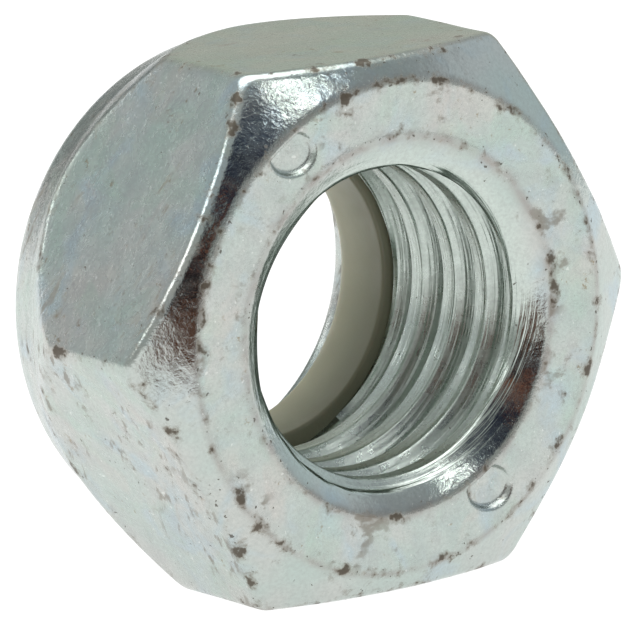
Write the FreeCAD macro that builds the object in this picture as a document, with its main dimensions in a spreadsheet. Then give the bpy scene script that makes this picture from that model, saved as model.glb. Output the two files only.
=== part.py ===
import FreeCAD, Part
import math
import os

import Sketcher

# A prevailing-torque lock nut, M12 x 1.75, with a captive nylon ring.
# The thread axis lies along Y, the bearing face is at Y = 0 and looks along -Y,
# and the nut stands on one of its flats. Lengths are in millimetres.

DIMS = {
    "across_flats": 18.0,
    "corner_round": 0.68,
    "nut_height": 12.0,
    "bearing_radius": 8.22,
    "bearing_edge_round": 0.22,
    # hexagon ends: the front chamfer, then the steep crown that runs into the collar
    "outside_radius": 12.0,
    "front_chamfer_depth": 2.4,
    "front_chamfer_crown": 30.0,
    "rear_crown_depth": 1.3,
    "rear_crown": 45.0,
    "collar_foot_radius": 8.85,
    "collar_foot_depth": 8.6,
    "collar_edge_radius": 8.3,
    "collar_edge_depth": 10.2,
    "collar_edge_round": 2.0,
    "lip_outer_radius": 6.7,
    "lip_outer_round": 0.6,
    "lip_inner_radius": 6.1,
    "lip_inner_round": 0.3,
    # bore and thread
    "countersink_radius": 6.28,
    "countersink_depth": 0.6235,
    "countersink_rim_round": 0.7,
    "thread_minor_radius": 5.2,
    "thread_major_radius": 6.0,
    "thread_pitch": 1.75,
    "thread_turns_length": 10.5,
    "groove_inner_radius": 5.0,
    "groove_inner_low": 7.865,
    "groove_inner_high": 9.239,
    "groove_root_low": 8.442,
    "groove_root_high": 8.662,
    "bore_sectors": 6,
    # the seat that holds the nylon ring
    "seat_depth": 7.5,
    "recess_radius": 7.2,
    "recess_back": 10.2,
    # nylon ring
    "ring_bore_radius": 5.0,
    "ring_front_round": 0.12,
    "ring_back_round": 0.6,
    # two plain stamped ovals on the bearing face
    "stamp_length": 1.9,
    "stamp_width": 1.5,
    "stamp_depth": 0.12,
    "stamp_a_x": 4.12,
    "stamp_a_z": 6.42,
    "stamp_b_x": 3.5,
    "stamp_b_z": 6.0,
}


def make_sheet(doc):
    """One row per dimension: its name, its value, and the name as the alias."""
    sheet = doc.addObject("Spreadsheet::Sheet", "dims")
    for row, (name, value) in enumerate(DIMS.items(), start=1):
        sheet.set("A%d" % row, name)
        sheet.set("B%d" % row, str(value))
        sheet.setAlias("B%d" % row, name)
    doc.recompute()
    return sheet


def origin_feature(body, role):
    for feature in body.Origin.OriginFeatures:
        if feature.Role == role:
            return feature
    raise ValueError("no origin feature " + role)


def new_body(doc, label):
    body = doc.addObject("PartDesign::Body", label)
    body.Label = label
    return body


def new_sketch(body, name, plane):
    sketch = body.newObject("Sketcher::SketchObject", name)
    sketch.AttachmentSupport = [(origin_feature(body, plane), "")]
    sketch.MapMode = "FlatFace"
    return sketch


def drive(sketch, kind, line, value_name):
    """Ties the start point of a line to a sheet value along one axis."""
    index = sketch.addConstraint(Sketcher.Constraint(kind, -1, 1, line, 1, DIMS[value_name]))
    sketch.setExpression("Constraints[%d]" % index, "dims." + value_name)


def shallow_arc(start, end, radius):
    """A counter-clockwise arc of the given radius from start to end, less than half a circle."""
    chord = end - start
    middle = (start + end) * 0.5
    inward = FreeCAD.Vector(-chord.y, chord.x, 0).normalize()
    centre = middle + inward * math.sqrt(radius * radius - chord.Length ** 2 / 4)
    first = math.atan2(start.y - centre.y, start.x - centre.x)
    last = math.atan2(end.y - centre.y, end.x - centre.x)
    return Part.ArcOfCircle(Part.Circle(centre, FreeCAD.Vector(0, 0, 1), radius), first, last)


def profile_sketch(body, name, corners, crowned=None, crown_name=None):
    """A closed outline in the radius-depth plane. A corner is (radius name, depth name),
    and None puts it on the nut's axis or on the bearing face. The side numbered crowned
    is a shallow arc whose radius is the sheet value crown_name, and the others are straight."""
    sketch = new_sketch(body, name, "XY_Plane")
    points = []
    for radius, depth in corners:
        x = DIMS[radius] if radius else 0.0
        y = DIMS[depth] if depth else 0.0
        points.append(FreeCAD.Vector(x, y, 0))
    count = len(points)
    for i in range(count):
        start, end = points[i], points[(i + 1) % count]
        if i == crowned:
            sketch.addGeometry(shallow_arc(start, end, DIMS[crown_name]), False)
        else:
            sketch.addGeometry(Part.LineSegment(start, end), False)
    for i in range(count):
        sketch.addConstraint(Sketcher.Constraint("Coincident", i, 2, (i + 1) % count, 1))
    if crowned is not None:
        index = sketch.addConstraint(Sketcher.Constraint("Radius", crowned, DIMS[crown_name]))
        sketch.setExpression("Constraints[%d]" % index, "dims." + crown_name)
    for i, (radius, depth) in enumerate(corners):
        if radius:
            drive(sketch, "DistanceX", i, radius)
        else:
            sketch.addConstraint(Sketcher.Constraint("PointOnObject", i, 1, -2))
        if depth:
            drive(sketch, "DistanceY", i, depth)
        else:
            sketch.addConstraint(Sketcher.Constraint("PointOnObject", i, 1, -1))
    return sketch


def turned(body, kind, name, sketch, degrees=360.0):
    """A Revolution or Groove of a profile about the nut's axis."""
    feature = body.newObject("PartDesign::" + kind, name)
    feature.Profile = sketch
    feature.ReferenceAxis = (sketch, ["V_Axis"])
    feature.Angle = degrees
    feature.Refine = False
    sketch.Visibility = False
    body.Document.recompute()
    return feature


def round_edges(body, name, radius_name, wanted):
    """Fillets the edges of the body's tip that pass the test."""
    tip = body.Tip
    names = []
    for number, edge in enumerate(tip.Shape.Edges, start=1):
        if wanted(edge):
            names.append("Edge%d" % number)
    fillet = body.newObject("PartDesign::Fillet", name)
    fillet.Base = (tip, names)
    fillet.setExpression("Radius", "dims." + radius_name)
    fillet.Refine = False
    body.Document.recompute()
    return fillet


def circle_at(radius, depth):
    """Test for a circular edge about the nut's axis."""

    def wanted(edge):
        if not isinstance(edge.Curve, Part.Circle):
            return False
        centre = edge.Curve.Center
        on_axis = math.hypot(centre.x, centre.z) < 0.01
        return on_axis and abs(centre.y - depth) < 0.01 and abs(edge.Curve.Radius - radius) < 0.01

    return wanted


def along_axis(edge):
    """Test for a straight edge parallel to the nut's axis."""
    if not isinstance(edge.Curve, Part.Line):
        return False
    return abs(edge.Curve.Direction.y) > 0.999


def hexagon_sketch(body):
    """A hexagon with level flats at the top and bottom, sized across its flats."""
    sketch = new_sketch(body, "hexagon", "XZ_Plane")
    radius = DIMS["across_flats"] / math.sqrt(3)
    points = []
    for i in range(6):
        turn = math.radians(60 * i)
        points.append(FreeCAD.Vector(radius * math.cos(turn), radius * math.sin(turn), 0))
    for i in range(6):
        sketch.addGeometry(Part.LineSegment(points[i], points[(i + 1) % 6]), False)
    guide = sketch.addGeometry(Part.Circle(FreeCAD.Vector(0, 0, 0), FreeCAD.Vector(0, 0, 1), radius), True)
    sketch.addConstraint(Sketcher.Constraint("Coincident", guide, 3, -1, 1))
    for i in range(6):
        sketch.addConstraint(Sketcher.Constraint("Coincident", i, 2, (i + 1) % 6, 1))
        sketch.addConstraint(Sketcher.Constraint("PointOnObject", i, 1, guide))
    for i in range(1, 6):
        sketch.addConstraint(Sketcher.Constraint("Equal", 0, i))
    sketch.addConstraint(Sketcher.Constraint("Horizontal", 1))
    index = sketch.addConstraint(Sketcher.Constraint("DistanceY", 4, 1, 1, 1, DIMS["across_flats"]))
    sketch.setExpression("Constraints[%d]" % index, "dims.across_flats")
    return sketch


def add_hexagon(body):
    pad = body.newObject("PartDesign::Pad", "hexagon_bar")
    pad.Profile = hexagon_sketch(body)
    pad.setExpression("Length", "dims.nut_height")
    pad.Reversed = True
    pad.Refine = False
    body.Document.recompute()
    round_edges(body, "hexagon_corners", "corner_round", along_axis)


def turn_hexagon_ends(body):
    """The front chamfer, and the rear crown that becomes the collar. Both are cut a little
    full, as a forging die leaves them, instead of as plain cones."""
    front = profile_sketch(body, "front_chamfer_profile", [
        ("bearing_radius", None),
        ("outside_radius", "front_chamfer_depth"),
        ("outside_radius", None),
    ], 0, "front_chamfer_crown")
    turned(body, "Groove", "front_chamfer", front)
    rear = profile_sketch(body, "rear_profile", [
        ("outside_radius", "nut_height"),
        ("outside_radius", "rear_crown_depth"),
        ("collar_foot_radius", "collar_foot_depth"),
        ("collar_edge_radius", "collar_edge_depth"),
        ("lip_outer_radius", "nut_height"),
    ], 1, "rear_crown")
    turned(body, "Groove", "rear_crown", rear)


def open_bore(body):
    """The plain bore, cut as equal sectors, then its countersink and the ring's recess."""
    wedge = profile_sketch(body, "bore_profile", [
        (None, None),
        ("thread_minor_radius", None),
        ("thread_minor_radius", "seat_depth"),
        (None, "seat_depth"),
    ])
    sector = turned(body, "Groove", "bore_sector", wedge, 360.0 / DIMS["bore_sectors"])
    pattern = body.newObject("PartDesign::PolarPattern", "bore_sectors")
    pattern.Originals = [sector]
    pattern.Axis = (origin_feature(body, "Y_Axis"), [""])
    pattern.Angle = 360
    pattern.setExpression("Occurrences", "dims.bore_sectors")
    pattern.Refine = False
    body.Tip = pattern
    body.Document.recompute()
    sink = profile_sketch(body, "countersink_profile", [
        (None, None),
        ("countersink_radius", None),
        ("thread_minor_radius", "countersink_depth"),
        (None, "countersink_depth"),
    ])
    turned(body, "Groove", "countersink", sink)
    recess = profile_sketch(body, "ring_recess_profile", [
        (None, "seat_depth"),
        ("recess_radius", "seat_depth"),
        ("recess_radius", "recess_back"),
        ("lip_inner_radius", "recess_back"),
        ("lip_inner_radius", "nut_height"),
        (None, "nut_height"),
    ])
    turned(body, "Groove", "ring_recess", recess)


def cut_thread(body):
    """A right-hand 60 degree groove that starts in the ring's recess and leaves at the front."""
    groove = profile_sketch(body, "thread_profile", [
        ("groove_inner_radius", "groove_inner_low"),
        ("thread_major_radius", "groove_root_low"),
        ("thread_major_radius", "groove_root_high"),
        ("groove_inner_radius", "groove_inner_high"),
    ])
    thread = body.newObject("PartDesign::SubtractiveHelix", "thread")
    thread.Profile = groove
    thread.ReferenceAxis = (groove, ["V_Axis"])
    thread.Mode = 0
    thread.setExpression("Pitch", "dims.thread_pitch")
    thread.setExpression("Height", "dims.thread_turns_length")
    thread.LeftHanded = False
    thread.Reversed = True
    thread.Refine = False
    groove.Visibility = False
    body.Document.recompute()
    return thread


def oval_sketch(body, name, x_name, z_name, side_x, side_z):
    """A plain oval whose centre is tied to the sheet. side_x and side_z are +1 or -1."""
    sketch = new_sketch(body, name, "XZ_Plane")
    centre = FreeCAD.Vector(side_x * DIMS[x_name], side_z * DIMS[z_name], 0)
    major = DIMS["stamp_length"] / 2
    minor = DIMS["stamp_width"] / 2
    sketch.addGeometry(Part.Ellipse(centre, major, minor), False)
    sketch.exposeInternalGeometry(0)
    across = sketch.addConstraint(Sketcher.Constraint("Distance", 1, DIMS["stamp_length"]))
    sketch.setExpression("Constraints[%d]" % across, "dims.stamp_length")
    down = sketch.addConstraint(Sketcher.Constraint("Distance", 2, DIMS["stamp_width"]))
    sketch.setExpression("Constraints[%d]" % down, "dims.stamp_width")
    sketch.addConstraint(Sketcher.Constraint("Horizontal", 1))
    place_x = sketch.addConstraint(Sketcher.Constraint("DistanceX", -1, 1, 0, 3, centre.x))
    sketch.setExpression("Constraints[%d]" % place_x, "%d * dims.%s" % (side_x, x_name))
    place_z = sketch.addConstraint(Sketcher.Constraint("DistanceY", -1, 1, 0, 3, centre.y))
    sketch.setExpression("Constraints[%d]" % place_z, "%d * dims.%s" % (side_z, z_name))
    return sketch


def press_stamps(body):
    """Two shallow ovals without any lettering, pressed into the bearing face."""
    for name, x_name, z_name, side_x, side_z in (
        ("stamp_a", "stamp_a_x", "stamp_a_z", -1, 1),
        ("stamp_b", "stamp_b_x", "stamp_b_z", 1, -1),
    ):
        sketch = oval_sketch(body, name + "_oval", x_name, z_name, side_x, side_z)
        pocket = body.newObject("PartDesign::Pocket", name)
        pocket.Profile = sketch
        pocket.setExpression("Length", "dims.stamp_depth")
        pocket.Refine = False
        sketch.Visibility = False
        body.Document.recompute()


def soften_turned_edges(body):
    edges = (
        ("bearing_edge", "bearing_edge_round", "bearing_radius", 0.0),
        ("countersink_rim", "countersink_rim_round", "countersink_radius", 0.0),
        ("collar_shoulder", "collar_edge_round", "collar_edge_radius", DIMS["collar_edge_depth"]),
        ("lip_outside", "lip_outer_round", "lip_outer_radius", DIMS["nut_height"]),
        ("lip_inside", "lip_inner_round", "lip_inner_radius", DIMS["nut_height"]),
    )
    for name, round_name, radius_name, depth in edges:
        round_edges(body, name, round_name, circle_at(DIMS[radius_name], depth))


def make_nut_body(doc):
    body = new_body(doc, "nut_body")
    add_hexagon(body)
    turn_hexagon_ends(body)
    open_bore(body)
    soften_turned_edges(body)
    press_stamps(body)
    cut_thread(body)
    return body


def make_nylon_insert(doc):
    """A plain washer of nylon, held between the seat and the rolled lip."""
    body = new_body(doc, "nylon_insert")
    section = profile_sketch(body, "ring_section", [
        ("ring_bore_radius", "seat_depth"),
        ("recess_radius", "seat_depth"),
        ("recess_radius", "recess_back"),
        ("ring_bore_radius", "recess_back"),
    ])
    turned(body, "Revolution", "ring", section)
    front = circle_at(DIMS["ring_bore_radius"], DIMS["seat_depth"])
    round_edges(body, "ring_front_edge", "ring_front_round", front)
    back = circle_at(DIMS["ring_bore_radius"], DIMS["recess_back"])
    round_edges(body, "ring_back_edge", "ring_back_round", back)
    return body


def check_document(doc):
    for thing in doc.Objects:
        faults = [state for state in thing.State if state in ("Invalid", "Error")]
        if faults:
            raise RuntimeError("%s is %s" % (thing.Label, ", ".join(faults)))


def export(body):
    shape = body.Shape
    if shape.isNull() or not shape.isValid():
        raise RuntimeError(body.Label + " has no valid shape")
    if len(shape.Solids) != 1:
        raise RuntimeError("%s has %d solids" % (body.Label, len(shape.Solids)))
    box = shape.optimalBoundingBox()
    print("%s: %.2f x %.2f x %.2f mm, volume %.1f mm3, %d faces" % (
        body.Label, box.XLength, box.YLength, box.ZLength, shape.Volume, len(shape.Faces)))
    shape.exportStep("parts/%s.step" % body.Label)


os.makedirs("parts", exist_ok=True)
document = FreeCAD.newDocument("lock_nut")
make_sheet(document)
bodies = [make_nut_body(document), make_nylon_insert(document)]
document.recompute()
check_document(document)
for item in bodies:
    export(item)
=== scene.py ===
import math

import bmesh
import bpy
from mathutils import Matrix, Vector, noise


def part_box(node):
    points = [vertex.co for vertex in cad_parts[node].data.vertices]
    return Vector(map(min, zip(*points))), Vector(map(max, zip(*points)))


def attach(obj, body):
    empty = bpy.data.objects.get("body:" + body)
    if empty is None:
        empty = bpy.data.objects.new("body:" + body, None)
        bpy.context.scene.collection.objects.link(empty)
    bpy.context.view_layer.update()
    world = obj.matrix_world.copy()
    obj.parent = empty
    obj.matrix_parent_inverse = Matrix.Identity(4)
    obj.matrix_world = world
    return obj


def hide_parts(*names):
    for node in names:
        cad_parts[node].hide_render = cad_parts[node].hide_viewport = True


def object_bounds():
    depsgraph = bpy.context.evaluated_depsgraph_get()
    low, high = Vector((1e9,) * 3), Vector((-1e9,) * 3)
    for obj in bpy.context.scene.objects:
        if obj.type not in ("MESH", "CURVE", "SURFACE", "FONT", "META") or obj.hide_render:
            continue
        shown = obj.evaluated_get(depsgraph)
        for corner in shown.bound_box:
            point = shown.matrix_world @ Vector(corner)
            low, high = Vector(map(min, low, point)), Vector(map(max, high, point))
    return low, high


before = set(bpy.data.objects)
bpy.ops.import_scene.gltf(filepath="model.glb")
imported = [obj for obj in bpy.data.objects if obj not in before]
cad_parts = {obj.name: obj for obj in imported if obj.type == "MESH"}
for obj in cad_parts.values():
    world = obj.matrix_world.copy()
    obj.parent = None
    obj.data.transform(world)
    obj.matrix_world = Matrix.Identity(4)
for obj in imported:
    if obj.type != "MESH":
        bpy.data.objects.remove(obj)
cad_low, cad_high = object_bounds()
ring_low, ring_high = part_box("nylon_insert")

MM = 0.001
ACROSS_FLATS = (cad_high.z - cad_low.z) / MM
HEIGHT = (cad_high.y - cad_low.y) / MM

# ------------------------------------------------------------------ dimensions, mm
# the same as the CAD's, where the CAD has them
CORNER_ROUND = 0.68
BEARING_R = 8.22
BEARING_ROUND = 0.22
OUTSIDE_R = 12.0            # where the two chamfers' depths are given
FRONT_CHAMFER_DEPTH, FRONT_CROWN = 2.4, 30.0
REAR_CROWN_DEPTH, REAR_CROWN = 1.3, 45.0
COLLAR_FOOT = (8.85, 8.6)   # radius and depth, as in the bends below
EDGE_SOFT = 0.26            # round along the flats' front and rear edges
REAR_SOFT = 0.3
SINK_R = 6.28
SINK_SLOPE = math.tan(math.radians(60))
SINK_RIM = 0.094            # depth at which the rim's round meets the countersink
END_CHAMFER = 0.25          # on the thread's last turn
PLAIN_SINK = (0.4, 0.62)    # depths between which the thread comes out of the countersink
PITCH = 1.75
MINOR_R = 5.2
MAJOR_R = 6.0
ROOT_FLAT = 0.22
GROOVE_DEPTH = 1.552        # depth of one groove's middle, straight to the right
SEAT = ring_low[1] / MM
RECESS_R = (ring_high[0] - ring_low[0]) / 2 / MM
RECESS_BACK = ring_high[1] / MM
LIP_R = 6.1
RING_R = 5.0
RING_GAP = 0.01             # keeps the ring's faces off the steel's
RING_SIDE_GAP = 0.03
RING_FRONT_ROUND = 0.15
RING_BACK_ROUND = 0.6
STAMPS = ((-4.12, 6.42), (3.5, -6.0))
STAMP_HALF = (0.95, 0.75)
STAMP_DEPTH = 0.22
FORGED = 0.014              # unevenness of the flats and the collar
PRESSED = 0.012             # unevenness of the bearing face

# bends of the outside as start, corner and end
COLLAR_BEND = ((8.42, 9.85), (8.3, 10.2), (7.98, 10.56))
LIP_OUTER_BEND = ((6.98, 11.68), (6.7, HEIGHT), (6.5, HEIGHT))
LIP_INNER_BEND = ((6.5, HEIGHT), (LIP_R, HEIGHT), (LIP_R, HEIGHT - 1.0))


# ------------------------------------------------------------------ small helpers
def smooth(low, high, value):
    t = min(max((value - low) / (high - low), 0.0), 1.0)
    return t * t * (3 - 2 * t)


def wave(x, y, z, scale, seed=0.0):
    """Repeatable smooth noise from -1 to 1, with features about scale mm across."""
    return noise.noise(Vector((x / scale + seed, y / scale - seed, z / scale + 2 * seed)))


def line(a, b, count):
    """Points from a towards b, without b."""
    return [(a[0] + (b[0] - a[0]) * i / count, a[1] + (b[1] - a[1]) * i / count) for i in range(count)]


def bend(a, corner, b, count):
    """Points round a corner from a towards b, without b."""
    points = []
    for i in range(count):
        t = i / count
        u = 1 - t
        points.append(tuple(u * u * a[k] + 2 * u * t * corner[k] + t * t * b[k] for k in (0, 1)))
    return points


def crowned_depth(radius, a, b, crown):
    """Depth at a radius on a shallow arc from a to b."""
    chord = math.hypot(b[0] - a[0], b[1] - a[1])
    reach = math.sqrt(crown ** 2 - chord ** 2 / 4)
    cx = (a[0] + b[0]) / 2 - (b[1] - a[1]) / chord * reach
    cy = (a[1] + b[1]) / 2 + (b[0] - a[0]) / chord * reach
    across = math.sqrt(crown ** 2 - (radius - cx) ** 2)
    straight = a[1] + (b[1] - a[1]) * (radius - a[0]) / (b[0] - a[0])
    return min(cy - across, cy + across, key=lambda y: abs(y - straight))


def front_depth(radius):
    return crowned_depth(radius, (BEARING_R, 0.0), (OUTSIDE_R, FRONT_CHAMFER_DEPTH), FRONT_CROWN)


def rear_depth(radius):
    return crowned_depth(radius, (OUTSIDE_R, REAR_CROWN_DEPTH), COLLAR_FOOT, REAR_CROWN)


def hexagon_radius(angle):
    """Distance from the axis to the hexagon with rounded corners and a flat on top."""
    half = ACROSS_FLATS / 2
    off = (angle - math.pi / 2 + math.pi / 6) % (math.pi / 3) - math.pi / 6
    corner = (half - CORNER_ROUND) / math.cos(math.pi / 6)
    to_corner = math.pi / 6 - abs(off)
    reach = math.atan2(CORNER_ROUND / 2, corner + CORNER_ROUND * math.cos(math.pi / 6))
    if to_corner >= reach:
        return half / math.cos(off)
    inside = CORNER_ROUND ** 2 - (corner * math.sin(to_corner)) ** 2
    return corner * math.cos(to_corner) + math.sqrt(inside)


def column_angles():
    """Angles round the nut, closer together at the corners and the stamps."""
    angles = []
    angle = 0.0
    while angle < 360.0 - 1e-6:
        angles.append(math.radians(angle))
        near = abs((angle + 30) % 60 - 30)
        stamped = 112 <= angle < 134 or 290 <= angle < 312
        angle += 0.5 if near < 4 or stamped else 1.0
    return angles


# ------------------------------------------------------------------ steel body
GROOVE_HALF = ROOT_FLAT / 2 + (MAJOR_R - MINOR_R) * math.tan(math.radians(30))


def thread_points():
    """One pitch of the thread as (distance along the axis, radius), starting on a crest's middle."""
    crest = PITCH - 2 * GROOVE_HALF
    deep = MAJOR_R - MINOR_R
    flank = deep * math.tan(math.radians(30))
    soft = 0.05
    outline = [
        (0.0, MINOR_R), (crest / 2 - soft, MINOR_R), (crest / 2, MINOR_R + 0.012),
        (crest / 2 + soft, MINOR_R + soft * 1.6), (crest / 2 + flank * 0.35, MINOR_R + deep * 0.35),
        (crest / 2 + flank * 0.7, MINOR_R + deep * 0.7), (crest / 2 + flank - 0.03, MAJOR_R - 0.06),
        (crest / 2 + flank + 0.03, MAJOR_R - 0.01),
    ]
    mirrored = [(PITCH - along, radius) for along, radius in reversed(outline[1:])]
    return outline + [(PITCH / 2, MAJOR_R)] + mirrored


def sink_radius(depth):
    return SINK_R - SINK_SLOPE * depth


def outer_profile(angle):
    """From the countersink's rim over the outside to the ring's seat, as (radius, depth)."""
    reach = hexagon_radius(angle)
    x, z = 9 * math.cos(angle), 9 * math.sin(angle)
    uneven = 0.05 * wave(x, 1.0, z, 2.2, 3.0)
    rear_uneven = 0.06 * wave(x, 8.0, z, 2.6, 7.0)
    start = front_depth(reach) + uneven
    end = rear_depth(reach) + rear_uneven

    # countersink's rim and bearing face
    rim = SINK_R + 2 * SINK_RIM
    rows = bend((sink_radius(SINK_RIM), SINK_RIM), (SINK_R, 0.0), (rim, 0.0), 6)
    rows += line((rim, 0.0), (BEARING_R - BEARING_ROUND, 0.0), 22)
    first, last = BEARING_R + 0.24, reach - EDGE_SOFT
    rows += bend((BEARING_R - BEARING_ROUND, 0.0), (BEARING_R, 0.0), (first, front_depth(first)), 5)

    # front chamfer
    count = 12
    for i in range(count):
        radius = first + (last - first) * i / count
        rows.append((radius, front_depth(radius) + uneven * i / count))
    rows += bend((last, front_depth(last) + uneven), (reach, start), (reach, start + EDGE_SOFT), 6)

    # flat, and the crowned face behind it
    rows += line((reach, start + EDGE_SOFT), (reach, end - EDGE_SOFT), 16)
    inward = max(reach - REAR_SOFT, COLLAR_FOOT[0] + 0.05)
    rows += bend((reach, end - EDGE_SOFT), (reach, end), (inward, rear_depth(inward) + rear_uneven), 6)
    count = 10
    for i in range(count):
        radius = inward + (COLLAR_FOOT[0] - inward) * i / count
        rows.append((radius, rear_depth(radius) + rear_uneven * (1 - i / count)))

    # collar, rolled lip and the ring's recess
    rows += line(COLLAR_FOOT, COLLAR_BEND[0], 5)
    rows += bend(*COLLAR_BEND, 5)
    rows += line(COLLAR_BEND[2], LIP_OUTER_BEND[0], 8)
    rows += bend(*LIP_OUTER_BEND, 5)
    rows += bend(*LIP_INNER_BEND, 6)
    rows += line(LIP_INNER_BEND[2], (LIP_R, RECESS_BACK), 4)
    rows += line((LIP_R, RECESS_BACK), (RECESS_R, RECESS_BACK), 2)
    rows += line((RECESS_R, RECESS_BACK), (RECESS_R, SEAT), 3)
    rows.append((RECESS_R, SEAT))
    return rows


def stamp_depth(x, z):
    """How far a point of the bearing face is pressed in by the plain oval stamps."""
    depth = 0.0
    for sx, sz in STAMPS:
        off = math.hypot((x - sx) / STAMP_HALF[0], (z - sz) / STAMP_HALF[1])
        depth = max(depth, STAMP_DEPTH * (1 - smooth(0.82, 1.04, off)))
    return depth


def worn(radius, depth, angle):
    """Moves one outside point a little way inwards, for the unevenness of a forged blank."""
    x, z = radius * math.cos(angle), radius * math.sin(angle)
    if depth < 0.001 and radius > SINK_R + SINK_RIM:
        depth += stamp_depth(x, z) + PRESSED * (1 + wave(x, 0, z, 1.6, 1.0))
    else:
        forged = smooth(0.2, 1.2, depth) * (1 - smooth(8.2, 9.0, depth)) * smooth(8.4, 9.0, radius)
        radius -= FORGED * forged * (1 + wave(x, depth, z, 1.6, 4.0))
    return Vector((radius * math.cos(angle), depth, radius * math.sin(angle)))


def steel_mesh():
    """A closed grid: one column for each angle, and in the thread the rows follow the helix."""
    angles = column_angles()
    pattern = thread_points()
    steps = len(pattern)
    turns = int(math.ceil((SEAT + PITCH) / PITCH)) + 1
    first = GROOVE_DEPTH - PITCH * 1.5
    along = [first + turn * PITCH + step[0] for turn in range(turns + 1) for step in pattern]
    radii = [step[1] for turn in range(turns + 1) for step in pattern]
    columns = []
    for angle in angles:
        shift = PITCH * angle / (2 * math.pi)
        outer = [worn(radius, depth, angle) for radius, depth in outer_profile(angle)]
        inner = []
        for where, radius in zip(along, radii):
            depth = min(max(where - shift, SINK_RIM), SEAT)
            if depth in (SINK_RIM, SEAT):
                radius = thread_radius(depth + shift, along, radii)
            sink = sink_radius(depth)
            radius = sink + max(radius - sink, 0.0) * smooth(*PLAIN_SINK, depth)
            radius = max(radius, MINOR_R + END_CHAMFER - (SEAT - depth))
            inner.append(Vector((radius * math.cos(angle), depth, radius * math.sin(angle))))
        columns.append((outer, inner))
    return join_columns("steel_body", columns, steps)


def thread_radius(where, along, radii):
    """Radius of the thread between its listed points."""
    for i in range(len(along) - 1):
        if along[i] <= where <= along[i + 1]:
            share = (where - along[i]) / max(along[i + 1] - along[i], 1e-9)
            return radii[i] + (radii[i + 1] - radii[i]) * share
    return MINOR_R


def join_columns(name, columns, steps):
    """Skins the columns. Past the last angle the thread has moved on by one pitch."""
    outer_count = len(columns[0][0])
    inner_count = len(columns[0][1])
    size = outer_count + inner_count
    vertices = []
    for outer, inner in columns:
        vertices.extend(v * MM for v in outer)
        vertices.extend(v * MM for v in reversed(inner))
    faces = []
    for i in range(len(columns)):
        here = [i * size + k for k in range(size)]
        if i + 1 < len(columns):
            there = [(i + 1) * size + k for k in range(size)]
        else:
            there = list(range(outer_count))
            there += [outer_count + min(k + steps, inner_count - 1) for k in range(inner_count)]
        for k in range(size):
            n = (k + 1) % size
            faces.append((here[k], here[n], there[n], there[k]))
    return solid_from(name, vertices, faces)


def solid_from(name, vertices, faces):
    """Makes a smooth closed piece, with doubled points merged and normals outwards."""
    mesh = bpy.data.meshes.new(name)
    mesh.from_pydata([tuple(v) for v in vertices], [], faces)
    grid = bmesh.new()
    grid.from_mesh(mesh)
    bmesh.ops.remove_doubles(grid, verts=grid.verts, dist=2e-7)
    bmesh.ops.dissolve_degenerate(grid, edges=grid.edges, dist=1e-7)
    bmesh.ops.recalc_face_normals(grid, faces=grid.faces)
    for face in grid.faces:
        face.smooth = True
    grid.to_mesh(mesh)
    grid.free()
    piece = bpy.data.objects.new(name, mesh)
    bpy.context.scene.collection.objects.link(piece)
    return piece


def bell(value, middle, width):
    """1 in the middle, fading to 0 over about a width on both sides."""
    return math.exp(-((value - middle) / width) ** 2)


def mark_surface(piece):
    """Stores where edges are worn, and which points are in the bore, on the rim, or turned bright."""
    marks = {"wear": [], "bore": [], "rim": [], "turned": []}
    for vertex in piece.data.vertices:
        x, y, z = (value / MM for value in vertex.co)
        radius, angle = math.hypot(x, z), math.atan2(z, x)
        outside = hexagon_radius(angle)
        on_hexagon = smooth(outside - 0.6, outside - 0.1, radius)
        off_corner = abs((math.degrees(angle) + 30) % 60 - 30)
        marks["wear"].append(max(
            bell(radius, BEARING_R, 0.3) * bell(y, 0.0, 0.3),
            0.7 * bell(radius, SINK_R + 0.1, 0.25) * bell(y, 0.0, 0.3),
            0.9 * on_hexagon * bell(y, front_depth(outside), 0.35),
            0.6 * on_hexagon * bell(y, rear_depth(outside), 0.3),
            0.8 * on_hexagon * bell(off_corner, 0.0, 1.6)))
        marks["bore"].append((1 - smooth(5.9, 6.1, radius)) * smooth(0.1, 0.5, y))
        marks["rim"].append(max(
            bell(radius, SINK_R + 0.02, 0.2) * bell(y, 0.0, 0.2),
            0.8 * bell(radius, BEARING_R + 0.05, 0.13) * bell(y, 0.0, 0.2)))
        chamfer = smooth(0.0, 0.2, radius - BEARING_R)
        chamfer *= 1 - smooth(0.0, 0.3, y - front_depth(radius))
        sink = (1 - smooth(SINK_R - 0.1, SINK_R, radius)) * (1 - smooth(0.55, 0.75, y))
        marks["turned"].append(max(chamfer, sink))
    for name, values in marks.items():
        piece.data.attributes.new(name, "FLOAT", "POINT")
        piece.data.attributes[name].data.foreach_set("value", values)


# ------------------------------------------------------------------ nylon ring
def ring_mesh():
    """The ring, turned from one outline."""
    front, back = SEAT + RING_GAP, RECESS_BACK - RING_GAP
    outer = RECESS_R - RING_SIDE_GAP
    face = RING_R + 0.14
    bend_from = RECESS_BACK - RING_BACK_ROUND
    rows = bend((face, front), (RING_R, front), (RING_R, SEAT + RING_FRONT_ROUND), 4)
    rows += line((RING_R, SEAT + RING_FRONT_ROUND), (RING_R, bend_from), 14)
    rows += bend((RING_R, bend_from), (RING_R, RECESS_BACK), (RING_R + RING_BACK_ROUND, back), 7)
    rows += line((RING_R + RING_BACK_ROUND, back), (outer, back), 6)
    rows += line((outer, back), (outer, front), 3)
    rows += line((outer, front), (face, front), 4)
    count = 180
    columns = []
    for i in range(count):
        angle = 2 * math.pi * i / count
        columns.append([Vector((r * math.cos(angle), y, r * math.sin(angle))) for r, y in rows])
    size = len(columns[0])
    vertices = [v * MM for column in columns for v in column]
    faces = []
    for i in range(count):
        j = (i + 1) % count
        for k in range(size):
            n = (k + 1) % size
            faces.append((i * size + k, i * size + n, j * size + n, j * size + k))
    return solid_from("nylon_ring", vertices, faces)


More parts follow.
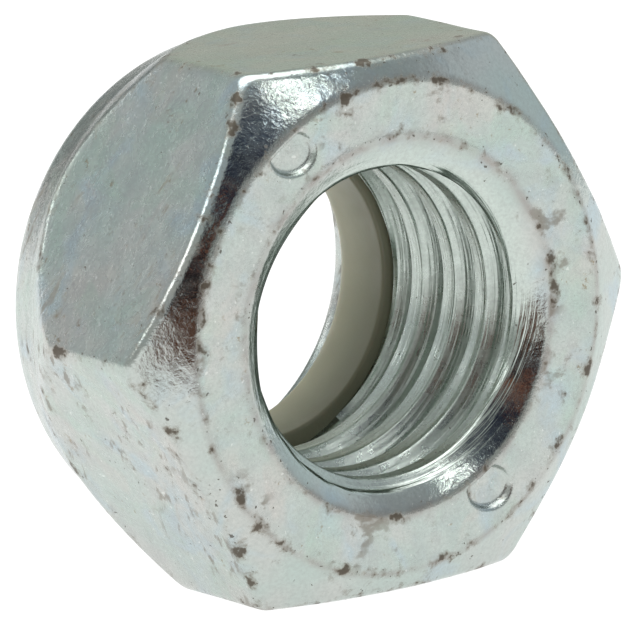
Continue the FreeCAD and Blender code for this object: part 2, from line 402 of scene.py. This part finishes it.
# ------------------------------------------------------------------ materials
class Nodes:
    """A short way to write a node tree."""

    def __init__(self, tree):
        self.tree = tree
        self.tree.nodes.clear()

    def add(self, kind, links=None, **settings):
        node = self.tree.nodes.new(kind)
        for key, value in settings.items():
            setattr(node, key, value)
        for key, value in (links or {}).items():
            if isinstance(value, bpy.types.NodeSocket):
                self.tree.links.new(value, node.inputs[key])
            else:
                node.inputs[key].default_value = value
        return node

    def mix(self, factor, a, b, blend="MIX"):
        node = self.add("ShaderNodeMix", data_type="RGBA", blend_type=blend)
        for index, value in ((0, factor), (6, a), (7, b)):
            if isinstance(value, bpy.types.NodeSocket):
                self.tree.links.new(value, node.inputs[index])
            else:
                node.inputs[index].default_value = value
        return node.outputs[2]

    def noise(self, vector, scale, detail=3.0, rough=0.5, warp=0.0):
        node = self.add("ShaderNodeTexNoise", {
            "Vector": vector, "Scale": scale, "Detail": detail, "Roughness": rough, "Distortion": warp})
        return node.outputs["Fac"]

    def ramp(self, value, low, high, out_low=0.0, out_high=1.0, kind="SMOOTHSTEP"):
        node = self.add("ShaderNodeMapRange", {
            "Value": value, "From Min": low, "From Max": high, "To Min": out_low, "To Max": out_high},
            interpolation_type=kind)
        return node.outputs["Result"]

    def math(self, operation, a, b=0.0):
        node = self.add("ShaderNodeMath", operation=operation)
        for index, value in ((0, a), (1, b)):
            if isinstance(value, bpy.types.NodeSocket):
                self.tree.links.new(value, node.inputs[index])
            else:
                node.inputs[index].default_value = value
        return node.outputs[0]

    def times(self, a, b):
        return self.math("MULTIPLY", a, b)

    def mark(self, name):
        """A value stored on the mesh's points."""
        return self.add("ShaderNodeAttribute", attribute_name=name).outputs["Fac"]

    def millimetres(self):
        """The place on the object, in mm."""
        place = self.add("ShaderNodeTexCoord").outputs["Object"]
        return self.add("ShaderNodeVectorMath", {0: place, 3: 1 / MM}, operation="SCALE").outputs[0]


def new_material(name):
    material = bpy.data.materials.new(name)
    material.use_nodes = True
    return material, Nodes(material.node_tree)


def zinc_material():
    material, n = new_material("zinc_plated_steel")
    mm = n.millimetres()
    wear, bore, rim, turned = (n.mark(name) for name in ("wear", "bore", "rim", "turned"))
    open_face = n.math("SUBTRACT", 1.0, n.math("MAXIMUM", turned, bore))

    # passivated zinc: pale, with soft green, blue and rosy areas
    wide = n.ramp(n.noise(mm, 0.3, 3.0), 0.35, 0.65)
    pale = n.mix(wide, (0.475, 0.555, 0.515, 1), (0.54, 0.56, 0.53, 1))
    pale = n.mix(n.ramp(n.noise(mm, 0.55, 3.0, warp=0.6), 0.5, 0.72), pale, (0.455, 0.545, 0.57, 1))
    rosy = n.times(n.ramp(n.noise(mm, 0.38, 3.0, warp=0.8), 0.52, 0.66), open_face)
    pale = n.mix(n.times(rosy, 0.3), pale, (0.61, 0.53, 0.485, 1))
    green = n.times(n.ramp(n.noise(mm, 0.47, 3.0, warp=0.5), 0.5, 0.64), open_face)
    pale = n.mix(n.times(green, 0.35), pale, (0.43, 0.575, 0.48, 1))
    broken = n.ramp(n.noise(mm, 1.1, 3.0), 0.4, 0.6, 0.45, 1.0)
    pale = n.mix(n.times(rim, broken), pale, (0.36, 0.345, 0.32, 1))
    pale = n.mix(bore, pale, (0.56, 0.63, 0.58, 1))
    grain = n.noise(mm, 8.0, 4.0, 0.65)
    base = n.mix(n.ramp(grain, 0.3, 0.75, 0.0, 0.45), pale, (0.37, 0.395, 0.375, 1))
    bright = n.times(n.ramp(n.noise(mm, 5.5, 1.0), 0.70, 0.75), n.times(open_face, 0.35))
    base = n.mix(bright, base, (0.86, 0.88, 0.84, 1))
    cloudy = n.times(n.ramp(n.noise(mm, 0.9, 5.0, 0.6), 0.42, 0.66), n.times(open_face, 0.22))
    base = n.mix(cloudy, base, (0.36, 0.37, 0.37, 1))

    # dirt: dark specks, short leaning streaks and soft-edged stains, thicker along the edges
    specks = n.math("ADD", n.noise(mm, 4.5, 2.0, 0.5), n.times(wear, 0.07))
    specks = n.ramp(specks, 0.72, 0.76)
    cluster = n.ramp(n.noise(mm, 0.28, 2.0), 0.47, 0.6)
    lean = n.add("ShaderNodeMapping", {
        "Vector": mm, "Rotation": (math.radians(24), 0.0, 0.0), "Scale": (1.1, 0.42, 1.1)},
        vector_type="TEXTURE")
    streaks = n.ramp(n.noise(lean.outputs[0], 1.0, 4.0, 0.6), 0.55, 0.66)
    streaks = n.times(n.times(streaks, cluster), n.times(open_face, 0.55))
    patch = n.math("ADD", n.noise(mm, 1.3, 5.0, 0.62), n.times(wear, 0.16))
    patch = n.math("SUBTRACT", patch, n.times(bore, 0.08))
    patch = n.math("ADD", patch, n.times(n.times(cluster, open_face), 0.05))
    stain = n.ramp(patch, 0.62, 0.80)
    core = n.ramp(patch, 0.72, 0.78)
    flecks = n.times(n.ramp(n.noise(mm, 2.4, 4.0, 0.65), 0.6, 0.68), open_face)
    flecks = n.times(flecks, n.ramp(n.noise(mm, 0.42, 2.0, warp=0.4), 0.5, 0.6))
    dirt = n.math("MAXIMUM", n.times(stain, 0.7), streaks)
    base = n.mix(n.times(flecks, 0.65), base, (0.25, 0.19, 0.105, 1))
    base = n.mix(dirt, base, (0.17, 0.13, 0.085, 1))
    base = n.mix(n.times(n.math("MAXIMUM", core, specks), 0.75), base, (0.06, 0.045, 0.028, 1))
    covered = n.math("MAXIMUM", dirt, n.times(specks, 0.7))
    metal = n.math("SUBTRACT", 1.0, n.times(covered, 0.7))

    # roughness: the turned faces are the brightest, dirt is dull
    rough = n.ramp(n.noise(mm, 2.2, 4.0), 0.3, 0.7, 0.2, 0.3)
    rough = n.math("SUBTRACT", rough, n.times(turned, 0.13))
    rough = n.math("ADD", rough, n.times(covered, 0.3))
    rough = n.math("ADD", rough, n.times(bore, 0.04))

    # turning marks that follow the thread
    split = n.add("ShaderNodeSeparateXYZ", {0: mm})
    turn = n.math("ARCTAN2", split.outputs["Z"], split.outputs["X"])
    along = n.math("ADD", split.outputs["Y"], n.times(turn, PITCH / (2 * math.pi)))
    swept = n.add("ShaderNodeCombineXYZ", {
        "X": n.times(turn, 0.9), "Y": n.times(along, 9.0)})
    marks = n.times(n.noise(swept.outputs[0], 1.0, 3.0), bore)

    # relief: fine grain, slow waves and the turning marks, calm in the bore
    gritty = n.times(grain, n.ramp(turned, 0.0, 1.0, 1.25, 0.85, "LINEAR"))
    calm = n.ramp(bore, 0.0, 1.0, 1.0, 0.25, "LINEAR")
    gritty = n.times(gritty, calm)
    rolling = n.times(n.noise(mm, 1.6, 3.0), calm)
    fine = n.add("ShaderNodeBump", {"Strength": 1.0, "Distance": 0.009 * MM, "Height": gritty})
    waves = n.add("ShaderNodeBump", {
        "Strength": 1.0, "Distance": 0.022 * MM, "Height": rolling, "Normal": fine.outputs[0]})
    lines = n.add("ShaderNodeBump", {
        "Strength": 1.0, "Distance": 0.045 * MM, "Height": marks, "Normal": waves.outputs[0]})
    shader = n.add("ShaderNodeBsdfPrincipled", {
        "Base Color": base, "Metallic": metal, "Roughness": rough, "Normal": lines.outputs[0]})
    n.add("ShaderNodeOutputMaterial", {"Surface": shader.outputs[0]})
    return material


def nylon_material():
    material, n = new_material("nylon")
    mm = n.millimetres()
    # painted light and painted shade: the ring is coloured darker towards its seat and lighter towards its
    # back, for light through the back opening and the thin back edge and for shade deep in the bore
    depth = n.add("ShaderNodeSeparateXYZ", {0: mm}).outputs["Y"]
    base = n.mix(n.ramp(depth, SEAT, RECESS_BACK), (0.28, 0.278, 0.192, 1), (0.55, 0.54, 0.385, 1))
    base = n.mix(n.times(n.noise(mm, 0.6, 3.0), 0.3), base, (0.20, 0.195, 0.14, 1))
    rough = n.ramp(n.noise(mm, 1.5, 3.0), 0.3, 0.7, 0.38, 0.5)
    bump = n.add("ShaderNodeBump", {
        "Strength": 0.5, "Distance": 0.02 * MM, "Height": n.noise(mm, 5.0, 3.0)})
    shader = n.add("ShaderNodeBsdfPrincipled", {
        "Base Color": base, "Roughness": rough, "Subsurface Weight": 0.1, "Subsurface Scale": MM,
        "Normal": bump.outputs[0]})
    n.add("ShaderNodeOutputMaterial", {"Surface": shader.outputs[0]})
    return material


# ------------------------------------------------------------------ studio, metres and degrees
FLOOR_HALF = 3.0
CARD_AZIMUTH = -25
CARD_AWAY = 42 * MM
CARD_HALF_WIDTH = 10 * MM
CARD_HEIGHT = 12 * MM
CAMERA_AZIMUTH, CAMERA_ELEVATION, CAMERA_ROLL = -36.5, 12.45, -1.98
CAMERA_AWAY = 0.3887
CAMERA_LENS = 668.3
CAMERA_AIM = Vector((0.55, -0.555, -0.54)) * MM     # from the nut's middle


def direction(azimuth, elevation):
    """Unit vector. Azimuth 0 is in front of the bearing face, 90 is to the right."""
    a, e = math.radians(azimuth), math.radians(elevation)
    return (math.sin(a) * math.cos(e), -math.cos(a) * math.cos(e), math.sin(e))


def staged(name, corners, surface):
    """A flat sheet that belongs to the studio, with its material's shader made by surface."""
    mesh = bpy.data.meshes.new(name)
    mesh.from_pydata(corners, [], [range(len(corners))])
    sheet = bpy.data.objects.new(name, mesh)
    bpy.context.scene.collection.objects.link(sheet)
    material, n = new_material(name + "_paper")
    n.add("ShaderNodeOutputMaterial", {"Surface": surface(n)})
    mesh.materials.append(material)
    return sheet


def make_floor():
    """A pale floor that glows a little, so that it stays pale in the nut's shadow."""
    def surface(n):
        paper = n.add("ShaderNodeBsdfDiffuse", {"Color": (0.14, 0.14, 0.14, 1)})
        glow = n.add("ShaderNodeEmission", {"Color": (1.0, 1.0, 1.0, 1), "Strength": 1.0})
        return n.add("ShaderNodeAddShader", {0: paper.outputs[0], 1: glow.outputs[0]}).outputs[0]

    corners = [(x * FLOOR_HALF, y * FLOOR_HALF, cad_low.z) for x, y in ((-1, -1), (1, -1), (1, 1), (-1, 1))]
    staged("floor", corners, surface)


def make_card():
    """A small brown card low in front of the nut, unseen by the camera, for the bright faces to reflect."""
    def surface(n):
        return n.add("ShaderNodeBsdfDiffuse", {"Color": (0.13, 0.06, 0.04, 1)}).outputs[0]

    ahead = Vector(direction(CARD_AZIMUTH, 0))
    side = Vector((-ahead.y, ahead.x, 0)) * CARD_HALF_WIDTH
    foot = ahead * CARD_AWAY + Vector((0, 0, cad_low.z))
    up = Vector((0, 0, CARD_HEIGHT))
    card = staged("card", [foot + side, foot - side, foot - side + up, foot + side + up], surface)
    card.visible_camera = False


def make_world():
    """A soft studio: pale walls with brighter and darker areas."""
    world = bpy.data.worlds.new("studio")
    bpy.context.scene.world = world
    world.use_nodes = True
    n = Nodes(world.node_tree)
    way = n.add("ShaderNodeTexCoord").outputs["Generated"]
    colour = (0.50, 0.51, 0.50, 1)
    areas = (
        # azimuth, elevation, size in degrees, softness, colour
        (75, 20, 26, 24, (0.66, 0.72, 0.76, 1)),
        (144, 8, 26, 24, (0.56, 0.58, 0.51, 1)),
        (211, 23, 30, 24, (0.57, 0.60, 0.615, 1)),
        (40, 38, 20, 12, (0.40, 0.425, 0.45, 1)),
        (0, 90, 31, 18, (2.8, 2.8, 2.8, 1)),
        (-83, 36, 10, 8, (3.2, 3.2, 3.2, 1)),
        (166, 0, 18, 14, (0.22, 0.235, 0.23, 1)),
        (192, 13, 4, 4, (4.0, 4.0, 4.0, 1)),
        (-22, 6, 11, 5, (0.012, 0.012, 0.014, 1)),
        (-16, 16, 10, 5, (0.015, 0.016, 0.022, 1)),
        (-8, 24, 10, 5, (0.015, 0.018, 0.035, 1)),
        (2, 31, 9, 5, (0.05, 0.055, 0.08, 1)),
        (13, 35, 7, 5, (0.26, 0.27, 0.30, 1)),
        (-14, 16, 4, 4, (0.32, 0.13, 0.08, 1)),
        (18, 38, 2.4, 1.5, (13.0, 13.0, 12.8, 1)),
    )
    for azimuth, elevation, size, soft, value in areas:
        towards = direction(azimuth, elevation)
        dot = n.add("ShaderNodeVectorMath", {0: way, 1: towards}, operation="DOT_PRODUCT")
        inner = math.cos(math.radians(max(size - soft / 2, 0.5)))
        outer = math.cos(math.radians(size + soft / 2))
        mask = n.ramp(dot.outputs["Value"], outer, inner)
        colour = n.mix(mask, colour, value)
    back = n.add("ShaderNodeBackground", {"Color": colour, "Strength": 1.0})
    n.add("ShaderNodeOutputWorld", {"Surface": back.outputs[0]})


def make_camera():
    """A long lens, looking down a little at the bearing face from its left."""
    data = bpy.data.cameras.new("camera")
    data.lens = CAMERA_LENS
    data.sensor_width = 36.0
    data.clip_start = 0.01
    data.clip_end = 20.0
    camera = bpy.data.objects.new("camera", data)
    bpy.context.scene.collection.objects.link(camera)
    back = Vector(direction(CAMERA_AZIMUTH, CAMERA_ELEVATION))
    turn = (-back).to_track_quat("-Z", "Y").to_matrix()
    roll = Matrix.Rotation(math.radians(CAMERA_ROLL), 3, "Z")
    camera.rotation_mode = "QUATERNION"
    camera.rotation_quaternion = (turn @ roll).to_quaternion()
    camera.location = (cad_low + cad_high) / 2 + CAMERA_AIM + back * CAMERA_AWAY
    bpy.context.scene.camera = camera


# ------------------------------------------------------------------ build
steel = steel_mesh()
mark_surface(steel)
steel.data.materials.append(zinc_material())
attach(steel, "root")
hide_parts("nut_body")

ring = ring_mesh()
ring.data.materials.append(nylon_material())
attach(ring, "root")
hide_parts("nylon_insert")

make_floor()
make_card()
make_world()
make_camera()
bpy.context.scene.view_settings.view_transform = "Standard"
